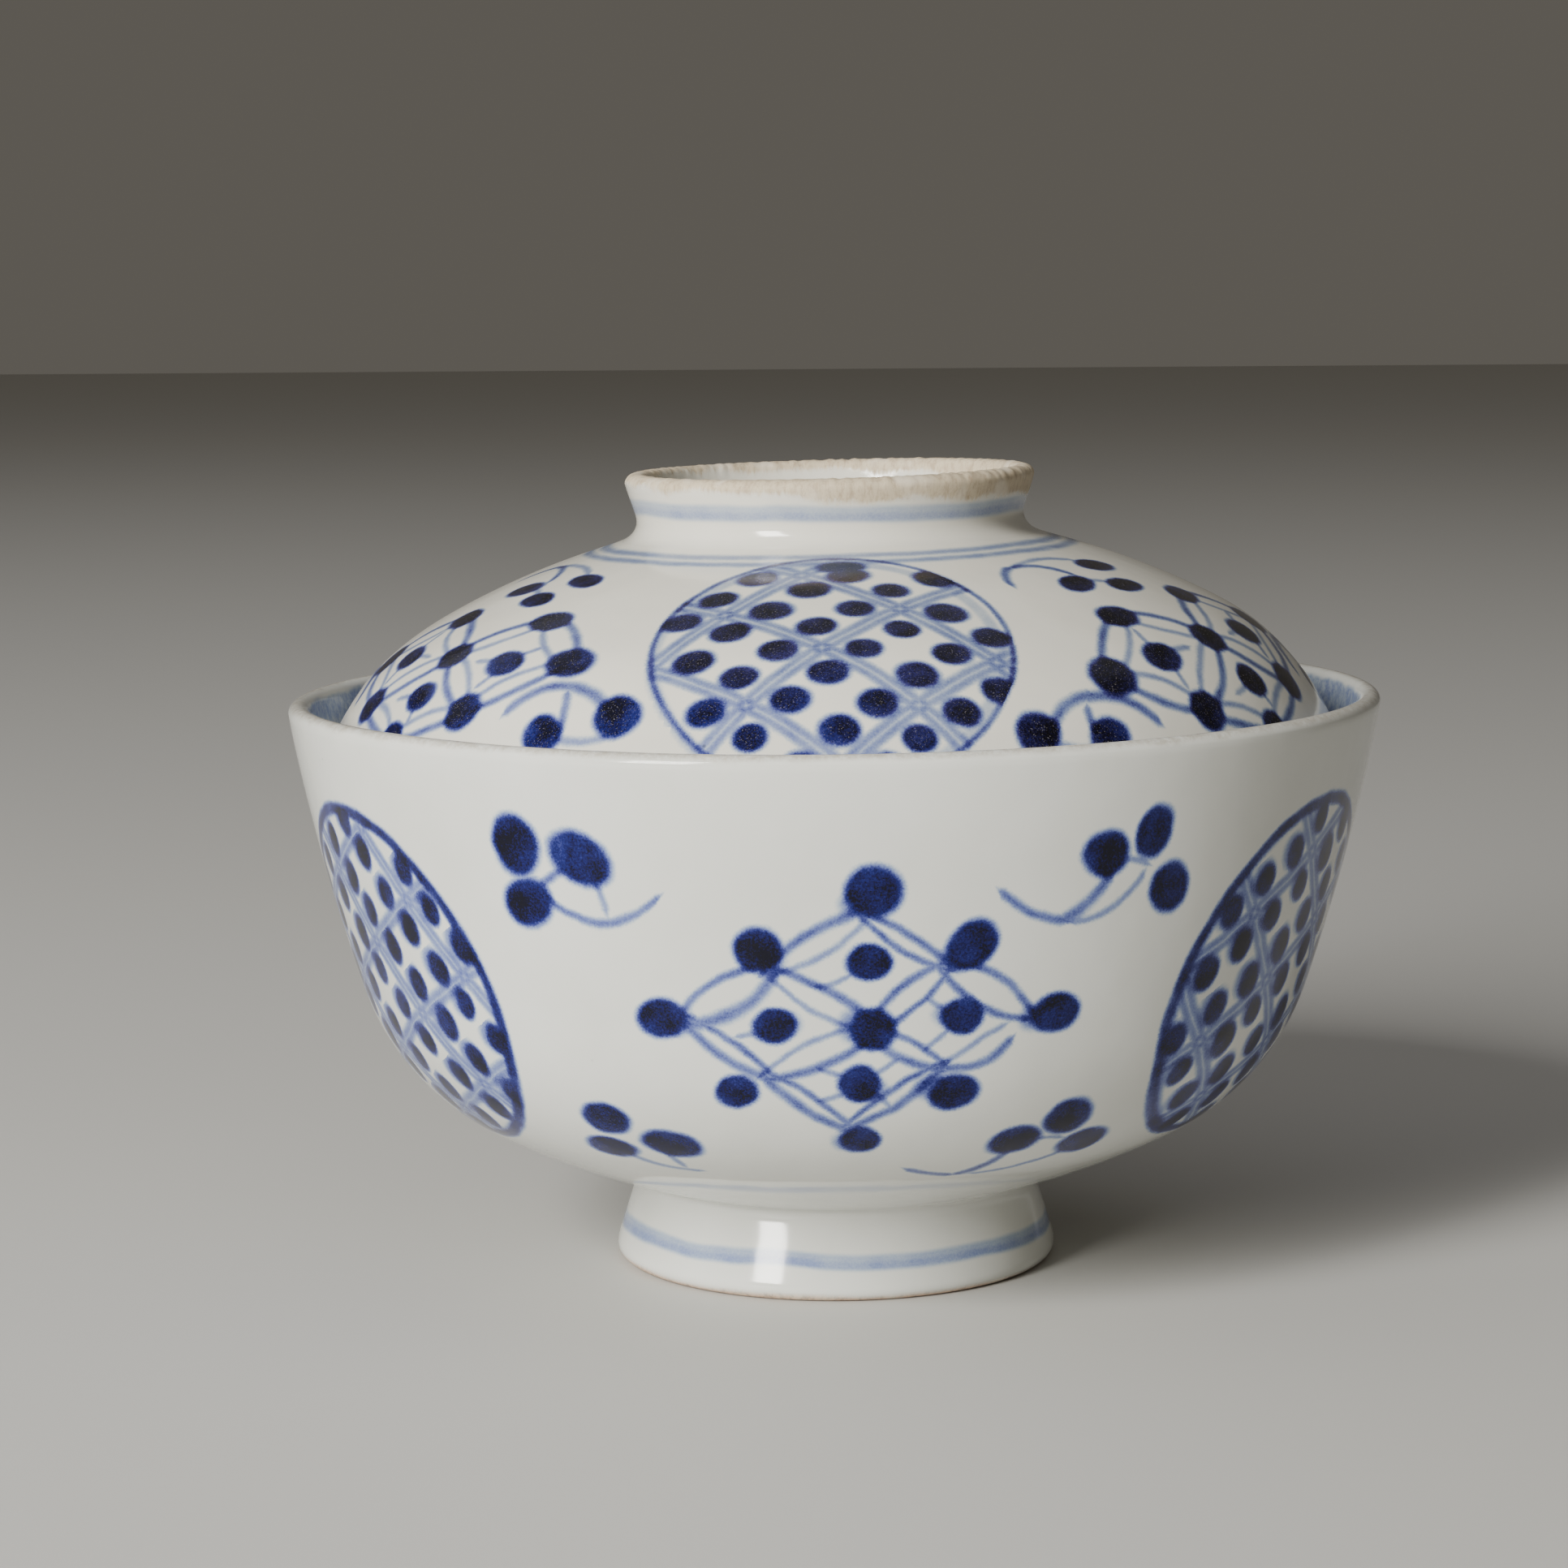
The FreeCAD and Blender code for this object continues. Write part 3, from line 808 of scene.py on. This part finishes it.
def bowl_sprays(brush):
    """Berry sprays in the four corners beside the lozenge."""
    for x, y, wide, tall, turn in (
        (-33.2, -10.6, 2.6, 3.1, 20), (-25.9, -11.4, 3.5, 2.4, -28), (-32.0, -16.6, 2.8, 2.6, 0),
        (28.0, -11.6, 2.6, 2.4, 20), (33.8, -9.8, 2.0, 2.6, -30), (35.8, -16.0, 2.3, 2.7, -15),
        (-24.3, -41.5, 2.8, 2.1, -20), (-23.8, -46.6, 3.0, 1.8, -12), (-16.9, -44.9, 3.2, 2.1, -14),
        (24.9, -41.8, 2.9, 2.2, 30), (18.8, -44.8, 3.0, 2.1, 24), (27.0, -46.4, 3.2, 1.9, 22),
    ):
        brush.dab(x, y, 1.08 * wide, 1.08 * tall, turn)
    brush.dab(-33.9, -9.8, 2.2, 2.5, 20, "press")
    for start, end, bulge, width in (
        ((-29.6, -15.6), (-17.2, -14.7), -3.0, 0.38), ((-30.4, -14.8), (-27.6, -12.9), 0.2, 0.36),
        ((16.7, -14.6), (24.0, -18.6), -0.7, 0.4), ((23.2, -18.5), (28.6, -13.6), -0.5, 0.46),
        ((7.2, -49.0), (12.4, -51.6), -0.5, 0.36), ((12.4, -51.6), (18.0, -46.6), -0.7, 0.36),
    ):
        brush.stroke(start, end, bulge, width)
    for start, end, bulge, width in (
        ((-24.4, -13.6), (-22.9, -17.2), 0.2, 0.28), ((23.8, -18.6), (32.6, -13.6), -1.4, 0.3),
        ((29.8, -12.4), (33.2, -13.2), 0.3, 0.3), ((-22.6, -46.8), (-13.8, -50.4), -1.0, 0.3),
        ((-18.0, -46.4), (-15.6, -49.8), 0.2, 0.26), ((14.0, -51.6), (24.6, -47.8), -1.1, 0.26),
        ((21.6, -45.0), (24.4, -45.2), 0.2, 0.26),
    ):
        brush.stroke(start, end, bulge, width, "faint")


def draw_bowl_front(brush):
    """Everything painted outside the bowl's medallions."""
    bowl_lozenge(brush)
    bowl_sprays(brush)
    return brush.pigment(STRENGTHS)


painted_material(bowl, "bowl lozenge and sprays", BOWL_WHITE, 0.45, draw_bowl_front)

# %% [markdown]
# ## The medallions
# Each medallion is a round window filled with a slanted net of double lines, with four dabs in
# every mesh. A net repeats, so it needs no list of marks: the place is turned into two slanted
# coordinates, and their fractions give the nearest line and the nearest dab. White noise on the
# whole numbers shifts each dab, so that the net still looks drawn by hand.

# %% Draw a medallion
def net(brush, medallion, knot, sides, dab_size, gap, halo=None):
    """A slanted net of double lines with four dabs in each mesh, cut off by the circle."""
    tree = brush.tree
    first, second = (Vector(side) for side in sides)
    area = first.x * second.y - first.y * second.x
    rows = ((second.y / area, -second.x / area), (-first.y / area, first.x / area))
    ways = [vectors(tree, "DOT_PRODUCT", brush.paper, (u, v, -(u * knot[0] + v * knot[1]))) for u, v in rows]
    far = vectors(tree, "LENGTH", vectors(tree, "SUBTRACT", brush.paper, (0.0, medallion["y"], 1.0)))
    cut = maths(tree, "MULTIPLY_ADD", far, 2.0, 1.0 - 2.0 * medallion["radius"])
    for way, beside in zip(ways, (second, first)):
        span = abs(area) / beside.length
        off = maths(tree, "PINGPONG", way, 0.5)
        twin = maths(tree, "MULTIPLY_ADD", off, span / 0.34, -gap / 2 / 0.34)
        brush.keep("faint", maths(tree, "MAXIMUM", maths(tree, "ABSOLUTE", twin), cut))
        wash = maths(tree, "MULTIPLY", off, span / (gap / 2))
        brush.keep("wash", maths(tree, "MAXIMUM", wash, cut))
    doubled = [maths(tree, "MULTIPLY", way, 2.0) for way in ways]
    whole = node(tree, "CombineXYZ")
    for socket, value in zip(whole.inputs, doubled):
        feed(tree, socket, maths(tree, "FLOOR", value))
    chance = node(tree, "TexWhiteNoise", noise_dimensions="2D")
    tree.links.new(whole.outputs[0], chance.inputs["Vector"])
    parts = [maths(tree, "SUBTRACT", maths(tree, "FRACT", value), 0.5) for value in doubled]
    local = vectors(tree, "SCALE", (first.x / 2, first.y / 2, 0.0), scale=parts[0])
    other = vectors(tree, "SCALE", (second.x / 2, second.y / 2, 0.0), scale=parts[1])
    local = vectors(tree, "ADD", local, other)
    centre = vectors(tree, "SUBTRACT", brush.paper, local)
    away = vectors(tree, "LENGTH", vectors(tree, "SUBTRACT", centre, (0.0, medallion["y"], 1.0)))
    left_out = maths(tree, "GREATER_THAN", away, medallion["radius"] - 0.5)
    jitter = vectors(tree, "SUBTRACT", chance.outputs["Color"], (0.5, 0.5, 0.5))
    local = vectors(tree, "ADD", local, vectors(tree, "MULTIPLY", jitter, (0.7, 0.5, 0.0)))
    size = maths(tree, "MULTIPLY_ADD", chance.outputs["Value"], 0.22, 0.9)
    wide, tall = dab_size
    shaped = vectors(tree, "MULTIPLY", local, (1 / wide, 1 / tall, 0.0))
    dabs = maths(tree, "MULTIPLY", vectors(tree, "LENGTH", shaped), size)
    dabs = maths(tree, "MULTIPLY_ADD", left_out, 9.0, dabs)
    brush.keep("dab", maths(tree, "MAXIMUM", dabs, cut))
    if halo:
        spread = vectors(tree, "ADD", local, (halo[0], halo[1], 0.0))
        spread = vectors(tree, "MULTIPLY", spread, (1 / (wide * 1.25), 1 / (tall * 1.12), 0.0))
        spread = maths(tree, "MULTIPLY", vectors(tree, "LENGTH", spread), size)
        spread = maths(tree, "MULTIPLY_ADD", left_out, 9.0, spread)
        brush.keep("halo", maths(tree, "MAXIMUM", spread, cut))


# The net's dabs were pressed more lightly than the others; the bowl's bled more to one side.
NET_STRENGTHS = [
    ("dab", 0.66, 1.21, 0.84), ("dab", 0.05, 0.95, 0.36), *STRENGTHS[2:],
    ("wash", 0.3, 1.4, 0.18), ("halo", 0.5, 1.25, 0.48), ("ring", 0.4, 1.7, 0.60),
]


def bold_ring(brush):
    """The bowl's medallions have a bold outline, gone over twice in places."""
    brush.circle(0.0, BOWL_MEDALLION["y"], 20.0, 0.6, "ring")
    brush.circle(0.3, BOWL_MEDALLION["y"] + 0.2, 19.8, 0.5, "line")


def draw_left_medallion(brush):
    """The bowl's medallion on the left, and the one at the back."""
    net(brush, BOWL_MEDALLION, (10.3, -18.5), ((10.3, 5.8), (6.3, -7.5)), (1.6, 2.0), 1.1, (0.6, -0.3))
    bold_ring(brush)
    return brush.pigment(NET_STRENGTHS)


def draw_right_medallion(brush):
    """The bowl's medallion on the right, with its net drawn afresh."""
    net(brush, BOWL_MEDALLION, (-10.6, -20.6), ((9.9, 5.4), (7.0, -8.4)), (1.8, 2.0), 1.3, (0.6, -0.3))
    bold_ring(brush)
    return brush.pigment(NET_STRENGTHS)


def two_lines(brush):
    """The two thin lines round the lid's ring, where the dome starts."""
    for radius in (24.8, 26.7):
        brush.circle(0.0, 0.0, radius, 0.5, "faint")


def draw_lid_medallion(brush):
    """The lid's medallion: a fine ring, washed lower left, and a wide net."""
    net(brush, LID_MEDALLION, (-1.0, -45.1), ((8.1, 7.5), (10.1, -7.9)), (2.35, 1.9), 1.25)
    brush.circle(0.0, -44.5, 19.0, 0.28, "line")
    brush.circle(-0.6, -45.2, 18.3, 0.8, "wash")
    brush.dab(1.1, -28.0, 2.8, 1.7)
    two_lines(brush)
    return brush.pigment(NET_STRENGTHS)


painted_material(bowl, "bowl left medallion", BOWL_WHITE, 0.3, draw_left_medallion)

# %% [markdown]
# ## The plain parts
# Inside, the bowl has a mottled blue border under its lip. Its foot has one blue line, and the
# edge it stands on was wiped free of glaze, so the clay burned buff and brown there. The lip of
# the lid's ring is bare in the same way, but wider and with fine upright streaks, left by the
# wiping. The jump in roughness from glaze to bare clay lets the light tell them apart.

# %% Borders, bands and bare clay
def height_of(tree, place):
    """The height above the table in millimetres, a little unsteady, as a brush would follow."""
    slow, _ = noise(tree, place, 0.05)
    height = vectors(tree, "DOT_PRODUCT", place, (0.0, 0.0, 1.0))
    return maths(tree, "ADD", height, maths(tree, "MULTIPLY_ADD", slow, 1.0, -0.5))


def band(tree, value, middle, half, strength):
    """A soft band of cobalt where the value is near the middle."""
    off = maths(tree, "ABSOLUTE", maths(tree, "MULTIPLY_ADD", value, 1 / half, -middle / half))
    return maths(tree, "MULTIPLY", fade(tree, off, 0.6, 1.35), strength)


def under_glaze(tree, place, code, density):
    """The glaze's colour with cobalt of this density under it."""
    pigment = cobalt_colour(tree, density, place)
    return mix_colour(tree, 1.0, glaze_colour(tree, place, code), pigment, "MULTIPLY")


def inside_material(piece, name, code, lip, border):
    """Glaze with a mottled border, and a thin brownish line on the lip."""
    tree = start_material(piece, name)
    place = millimetres(tree)
    paper = node(tree, "Attribute", attribute_name="paper").outputs["Vector"]
    depth = vectors(tree, "DOT_PRODUCT", paper, (0.0, 1.0, 0.0))
    slow, _ = noise(tree, place, 0.25)
    depth = maths(tree, "ADD", depth, maths(tree, "MULTIPLY_ADD", slow, 1.0, -0.5))
    start, end = border
    mottle, _ = noise(tree, place, 0.9, 3.0, 0.7)
    below_start = fade(tree, depth, start + 0.4, start - 0.4)
    above_end = fade(tree, depth, end - 0.5, end + 0.5)
    speckle = maths(tree, "MULTIPLY_ADD", mottle, 0.55, -0.04, clamp=True)
    density = maths(tree, "MULTIPLY", maths(tree, "MULTIPLY", below_start, above_end), speckle)
    for middle, half, strength in ((end, 0.45, 0.5), (end + 1.6, 0.3, 0.35)):
        density = maths(tree, "MAXIMUM", density, band(tree, depth, middle, half, strength))
    colour = under_glaze(tree, place, code, density)
    if lip:
        pits, _ = noise(tree, place, 1.1, 3.0, 0.8)
        line = maths(tree, "ABSOLUTE", depth)
        worn = maths(tree, "MULTIPLY", fade(tree, line, 0.35, 1.2), fade(tree, pits, 0.72, 0.2))
        colour = mix_colour(tree, maths(tree, "MULTIPLY", worn, 0.6), colour, srgb("#978a76"))
    finish_glaze(tree, colour, place)


def blue_line(tree, place, height, line):
    """The density of one soft line, which wanders a little and is darkest low down."""
    middle, half, strength = line
    slow, _ = noise(tree, place, 0.1)
    level = maths(tree, "MULTIPLY_ADD", slow, 0.9, maths(tree, "ADD", height, -0.45))
    off = maths(tree, "ABSOLUTE", maths(tree, "SUBTRACT", level, middle))
    low = maths(tree, "ABSOLUTE", maths(tree, "SUBTRACT", level, middle - 0.25 * half))
    density = maths(tree, "MULTIPLY", fade(tree, off, 0.4 * half, half), strength)
    return maths(tree, "MULTIPLY_ADD", fade(tree, low, 0.1, 0.6 * half), 0.07, density)


def bare_share(tree, place, height, bare):
    """1 on bare clay and 0 on glaze, with slow patches and fine streaks along the edge."""
    edge, side, ragged = bare
    streaks, _ = noise(tree, vectors(tree, "MULTIPLY", place, (1.0, 1.0, 0.2)), 2.6, 2.0, 0.6)
    patches, _ = noise(tree, place, 0.16, 2.0, 0.5)
    front_right = vectors(tree, "DOT_PRODUCT", place, (0.012 * ragged, -0.008 * ragged, 0.0))
    level = maths(tree, "MULTIPLY_ADD", patches, ragged, height)
    level = maths(tree, "MULTIPLY_ADD", streaks, 0.5 * ragged, level)
    level = maths(tree, "ADD", level, front_right)
    edge += 0.75 * ragged
    return fade(tree, level, edge + 0.5 * side, edge - 0.3 * side)


def clay_colour(tree, place, clays):
    """Two colours of clay in fine upright streaks, with paler patches."""
    stain, _ = noise(tree, vectors(tree, "MULTIPLY", place, (1.0, 1.0, 0.3)), 1.7, 4.0, 0.75)
    colour = mix_colour(tree, fade(tree, stain, 0.72, 0.4), srgb(clays[0]), srgb(clays[1]))
    slow, _ = noise(tree, place, 0.22, 2.0, 0.6)
    pale = maths(tree, "MULTIPLY", fade(tree, slow, 0.68, 0.5), 0.6)
    return mix_colour(tree, pale, colour, srgb("#e2d8c6"))


def standing_material(piece, name, code, line, bare, clays):
    """Glaze with one blue line, and bare clay on the edge that the piece can stand on.

    The line is its height, half width and strength. The bare part is the height where it
    starts, 1 if it lies above that or -1 if below, and how ragged its edge is.
    """
    tree = start_material(piece, name)
    place = millimetres(tree)
    height = height_of(tree, place)
    colour = under_glaze(tree, place, code, blue_line(tree, place, height, line))
    share = bare_share(tree, place, height, bare)
    cover = maths(tree, "MULTIPLY", share, 0.9)
    colour = mix_colour(tree, cover, colour, clay_colour(tree, place, clays))
    shader = finish_glaze(tree, colour, place)
    shader.inputs["Specular IOR Level"].default_value = 0.55
    tree.links.new(maths(tree, "MULTIPLY_ADD", share, 0.6, 0.12), shader.inputs["Roughness"])


inside_material(bowl, "bowl inside", BOWL_WHITE, True, (1.9, 12.5))
standing_material(bowl, "bowl foot", BOWL_WHITE, (4.3, 1.15, 0.2), (0.75, -1, 0.4), ("#cfb299", "#7d6654"))
painted_material(bowl, "bowl right medallion", BOWL_WHITE, 0.3, draw_right_medallion)
print(len(bowl.data.materials), "materials on the bowl")

# %% [markdown]
# ## The lid's painting
# The lid carries the same motifs on a smaller sheet: the lozenge spreads toward the edge, a
# hooked spray hangs over it from the two lines round the ring, and an arched spray stands on
# each side of it.

# %% Draw on the lid
def lid_lozenge(brush):
    """The lozenge on the lid: eight knots with a dab on each, and a dab in three meshes."""
    high_left, high_right = (-9.7, -41.6), (8.3, -40.1)
    left, middle, right = (-20.2, -47.6), (0.0, -48.4), (18.8, -44.0)
    low_left, low_right, bottom = (-11.4, -55.8), (10.8, -54.6), (-0.3, -60.1)
    for start, end, belly in (
        (left, high_left, 1.6), (high_left, middle, 1.5), (middle, high_right, 1.3), (high_right, right, 1.7),
        (left, low_left, -1.5), (low_left, middle, -1.5), (middle, low_right, -1.5),
        (low_right, right, -1.3), (low_left, bottom, -1.2), (bottom, low_right, -1.2),
    ):
        leaf(brush, start, end, belly, (0.4, 0.34), ("line", "faint"))
    for x, y, wide, tall, turn in (
        (*high_left, 3.0, 2.1, -10), (*high_right, 3.0, 2.0, 14), (*left, 3.1, 2.5, -15),
        (*middle, 2.7, 2.2, 0), (*right, 3.2, 2.3, 12), (*low_left, 2.7, 2.4, -10),
        (*low_right, 2.7, 2.4, 15), (*bottom, 2.5, 2.2, 0),
        (-11.2, -48.6, 2.8, 2.0, -8), (10.3, -47.6, 2.8, 2.1, 12), (0.9, -54.5, 2.6, 2.0, 0),
    ):
        brush.dab(x, y, wide, tall, turn)
    for start, end, bulge in (
        ((-11.0, -46.8), (-10.4, -44.2), 0.1), ((-8.8, -48.6), (-5.6, -48.8), 0.1),
        ((-11.4, -50.4), (-12.0, -52.8), 0.0), ((8.0, -47.8), (5.4, -48.4), 0.1),
        ((11.2, -45.6), (12.8, -43.6), 0.0), ((10.4, -49.6), (9.8, -51.6), 0.0),
        ((1.4, -56.4), (1.8, -58.0), 0.0), ((-1.4, -54.8), (-4.4, -55.4), 0.1),
    ):
        brush.stroke(start, end, bulge, 0.3, "faint")


def lid_sprays(brush):
    """A hooked spray over the lozenge and an arched one on each side of it."""
    for x, y, wide, tall, turn in (
        (-6.7, -35.0, 2.9, 1.7, 8), (2.1, -32.1, 3.0, 1.6, -6), (0.0, -37.1, 2.9, 1.7, 0),
        (-33.7, -46.6, 2.7, 2.5, -10), (-26.9, -52.2, 2.8, 2.4, 0), (30.5, -45.7, 2.9, 2.6, 10),
        (24.2, -52.2, 2.8, 2.4, 0),
    ):
        brush.dab(x, y, wide, tall, turn)
    for start, end, bulge, width, kind in (
        ((-14.6, -31.8), (-10.0, -28.9), 1.0, 0.4, "line"),
        ((-10.4, -29.0), (-4.6, -33.6), 1.2, 0.36, "line"),
        ((-10.4, -29.0), (0.4, -30.6), 0.9, 0.34, "faint"),
        ((-4.2, -35.2), (-2.2, -36.0), 0.2, 0.34, "faint"),
        ((-33.6, -48.4), (-24.2, -48.1), 1.7, 0.5, "line"),
        ((-26.0, -47.4), (-19.6, -54.4), 1.3, 0.5, "line"),
        ((-26.2, -48.0), (-28.0, -51.0), -0.3, 0.4, "line"),
        ((-33.0, -48.2), (-29.0, -52.0), -0.6, 0.4, "faint"),
        ((30.2, -46.4), (20.6, -47.2), -1.3, 0.5, "line"), ((22.2, -46.4), (17.4, -52.8), -1.3, 0.5, "line"),
        ((22.4, -46.8), (26.2, -51.0), 0.3, 0.4, "line"), ((31.4, -47.6), (25.8, -51.6), 0.8, 0.4, "faint"),
    ):
        brush.stroke(start, end, bulge, width, kind)


def draw_lid_front(brush):
    """Everything painted on the dome outside the medallions."""
    lid_lozenge(brush)
    lid_sprays(brush)
    two_lines(brush)
    return brush.pigment(STRENGTHS)


painted_material(lid, "lid lozenge and sprays", LID_WHITE, 0.4, draw_lid_front, HOTTER)
painted_material(lid, "lid medallion", LID_WHITE, 0.2, draw_lid_medallion, HOTTER)
inside_material(lid, "lid inside", LID_WHITE, False, (200.0, 210.0))
standing_material(lid, "lid ring", LID_WHITE, (84.0, 1.2, 0.17), (86.1, 1, 2.4), ("#c6b699", "#a48f73"))
print(len(lid.data.materials), "materials on the lid")

# %% [markdown]
# ## Tie the looks to the parts
# Each mesh rides on its rigid body and replaces its CAD solid, which is hidden.

# %% Tie the looks to the parts
for piece, part, slot in ((bowl, "bowl", "bowl_porcelain"), (lid, "lid", "lid_porcelain")):
    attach(piece, part)
    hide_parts(part)
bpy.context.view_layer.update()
